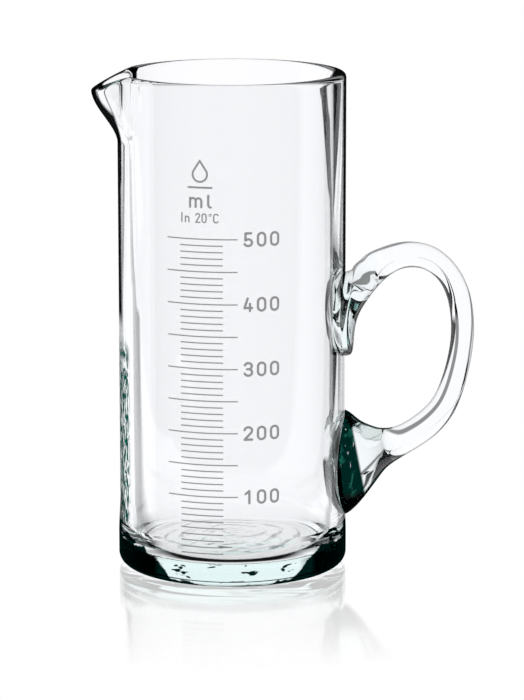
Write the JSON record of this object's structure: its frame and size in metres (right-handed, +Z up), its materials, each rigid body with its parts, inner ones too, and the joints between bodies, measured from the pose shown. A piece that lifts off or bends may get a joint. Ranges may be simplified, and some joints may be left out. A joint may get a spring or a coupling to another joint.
{
  "type": "graduated cylinder",
  "caption": "Straight glass measuring cylinder with a thick base, a pouring spout, a fused loop handle and a printed millilitre scale.",
  "frame": {"origin": "centre of the flat base, on the plane the object stands on", "axes": "+Z up along the tube, -X towards the spout, +X towards the handle, -Y towards the printed scale"},
  "size_m": [0.1382, 0.0821, 0.18],
  "materials": {
    "glass": "clear, fire-polished, faintly green where it is thick",
    "enamel": "grey fired enamel, satin"
  },
  "bodies": {
    "root": {"body_tube": "glass", "pouring_spout": "glass", "base_disc": "glass", "handle_bow": "glass", "handle_upper_seal": "glass", "handle_lower_gob": "glass", "main_graduations": "enamel", "fine_graduations": "enamel", "numeral_500": "enamel", "numeral_400": "enamel", "numeral_300": "enamel", "numeral_200": "enamel", "numeral_100": "enamel", "unit_label": "enamel", "temperature_label": "enamel", "drop_mark": "enamel"}
  },
  "joints": []
}
